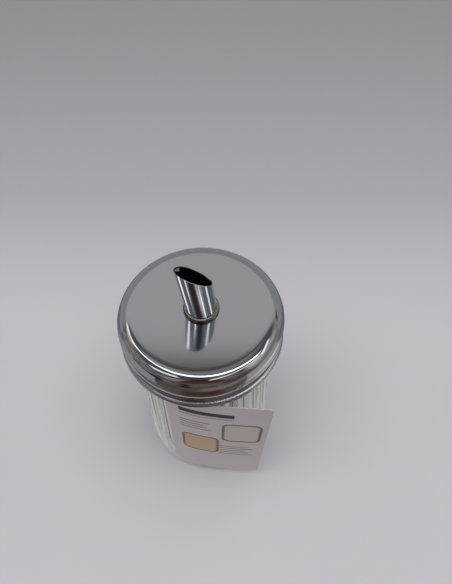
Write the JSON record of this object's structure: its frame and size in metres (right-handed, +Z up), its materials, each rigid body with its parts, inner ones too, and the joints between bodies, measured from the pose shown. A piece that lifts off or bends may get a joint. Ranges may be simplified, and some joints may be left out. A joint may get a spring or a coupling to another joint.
{
  "type": "sugar dispenser",
  "caption": "Fluted glass jar with a twist-on steel lid and a slanted, beak-cut steel tube that doses sugar; a card label is wrapped on its front.",
  "frame": {"origin": "on the jar's axis, at the flat underside that it stands on", "axes": "+Z up along the jar's axis to the lid; -Y towards the side with the card, which the picture is taken from; +X to the right seen from there"},
  "size_m": [0.0698, 0.0734, 0.1452],
  "materials": {
    "jar_glass": "clear, fire polished, faint green",
    "card": "printed thin card, a paper board under a matt coat",
    "tape": "clear double-sided tape",
    "seal": "matt, off-white",
    "lid_steel": "satin top, polished shoulder and skirt",
    "tube_steel": "polished",
    "collar": "satin, darkened brown by heat",
    "ring_steel": "satin"
  },
  "bodies": {
    "jar": {"glass_jar": "jar_glass", "label_card": "card", "card_tape": "tape"},
    "seal": {"lid_gasket": "seal"},
    "lid": {"lid_shell": "lid_steel", "dosing_tube": "tube_steel", "spout_collar": "collar", "tube_retaining_ring": "ring_steel"}
  },
  "joints": [
    {"name": "lid_lift", "type": "slide", "parent": "jar", "child": "seal", "axis": [0, 0, 1], "range_m": [0, 0.11]},
    {"name": "lid_turn", "type": "hinge", "parent": "seal", "child": "lid", "pos_m": [0, 0, 0.1176], "axis": [0, 0, 1], "range_deg": [-54, 0]}
  ]
}
